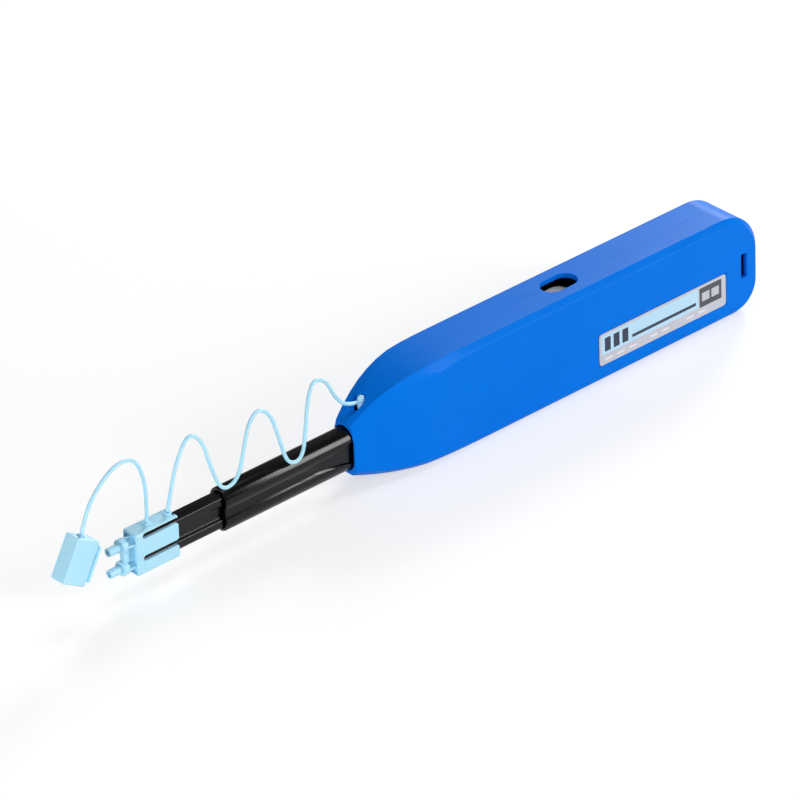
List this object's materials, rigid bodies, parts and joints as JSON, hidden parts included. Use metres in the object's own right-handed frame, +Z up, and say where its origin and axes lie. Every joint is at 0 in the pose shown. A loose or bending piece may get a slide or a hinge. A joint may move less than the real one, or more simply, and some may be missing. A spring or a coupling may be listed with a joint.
{
  "type": "fibre connector cleaning pen",
  "caption": "Push-to-clean hand tool for duplex fibre connectors: blue housing, telescoping black nozzle, push-on light-blue adapter and tethered cap.",
  "frame": {"origin": "on the housing's flat underside, midway across it and 70.35 mm ahead of its rear end", "axes": "+X from the cleaning tips to the rear of the housing, +Z up, the label side faces -Y"},
  "size_m": [0.234, 0.0164, 0.0398],
  "materials": {
    "blue_shell": "satin-gloss moulded ABS",
    "black_abs": "gloss moulded ABS",
    "light_blue": "satin moulded polypropylene",
    "label_film": "printed film label, bare of words",
    "acetal": "natural acetal",
    "white_plastic": "white moulded plastic",
    "spring_steel": "drawn wire"
  },
  "bodies": {
    "housing": {"housing_right": "blue_shell", "housing_left": "blue_shell", "label": "label_film", "feed_rack": "acetal", "cam_plate": "acetal", "spring_guide": "acetal", "tether_anchor": "light_blue", "return_spring": "spring_steel"},
    "nose": {"adapter": "light_blue", "nozzle": "black_abs", "sleeve": "black_abs", "carriage": "black_abs", "carriage_cover": "black_abs", "tether": "light_blue", "cap_tether": "light_blue", "cap": "light_blue"},
    "supply": {"supply_reel": "white_plastic"},
    "take_up": {"take_up_reel": "white_plastic"},
    "pinion": {"drive_pinion": "acetal"},
    "upper": {"upper_shaft": "acetal", "upper_tip": "acetal"},
    "lower": {"lower_shaft": "acetal", "lower_tip": "acetal"}
  },
  "joints": [
    {"name": "nose_slide", "type": "slide", "parent": "housing", "child": "nose", "axis": [1, 0, 0], "range_m": [0, 0.012], "stiffness_N_per_m": 400, "springref_m": -0.01, "deforming": ["return_spring", "tether"]},
    {"name": "pinion_spin", "type": "hinge", "parent": "nose", "child": "pinion", "pos_m": [-0.022, 0.0036, 0.0084], "axis": [0, 1, 0], "range_deg": [0, 175]},
    {"name": "take_up_spin", "type": "hinge", "parent": "nose", "child": "take_up", "pos_m": [-0.01267, 0, 0.0146], "axis": [0, 1, 0], "range_deg": [-100, 0]},
    {"name": "supply_spin", "type": "hinge", "parent": "nose", "child": "supply", "pos_m": [0.0066, 0, 0.01595], "axis": [0, 1, 0], "range_deg": [-60, 0]},
    {"name": "upper_spin", "type": "hinge", "parent": "nose", "child": "upper", "pos_m": [-0.06, 0, 0.01493], "axis": [1, 0, 0], "range_deg": [0, 185]},
    {"name": "lower_spin", "type": "hinge", "parent": "nose", "child": "lower", "pos_m": [-0.06, 0, 0.00868], "axis": [1, 0, 0], "range_deg": [0, 185]}
  ],
  "couplings": [
    {"joint": "pinion_spin", "follows": "nose_slide", "rad_per_m": 250},
    {"joint": "take_up_spin", "follows": "nose_slide", "rad_per_m": -138.89},
    {"joint": "supply_spin", "follows": "nose_slide", "rad_per_m": -73.625},
    {"joint": "upper_spin", "follows": "nose_slide", "rad_per_m": 261.8},
    {"joint": "lower_spin", "follows": "nose_slide", "rad_per_m": 261.8}
  ]
}
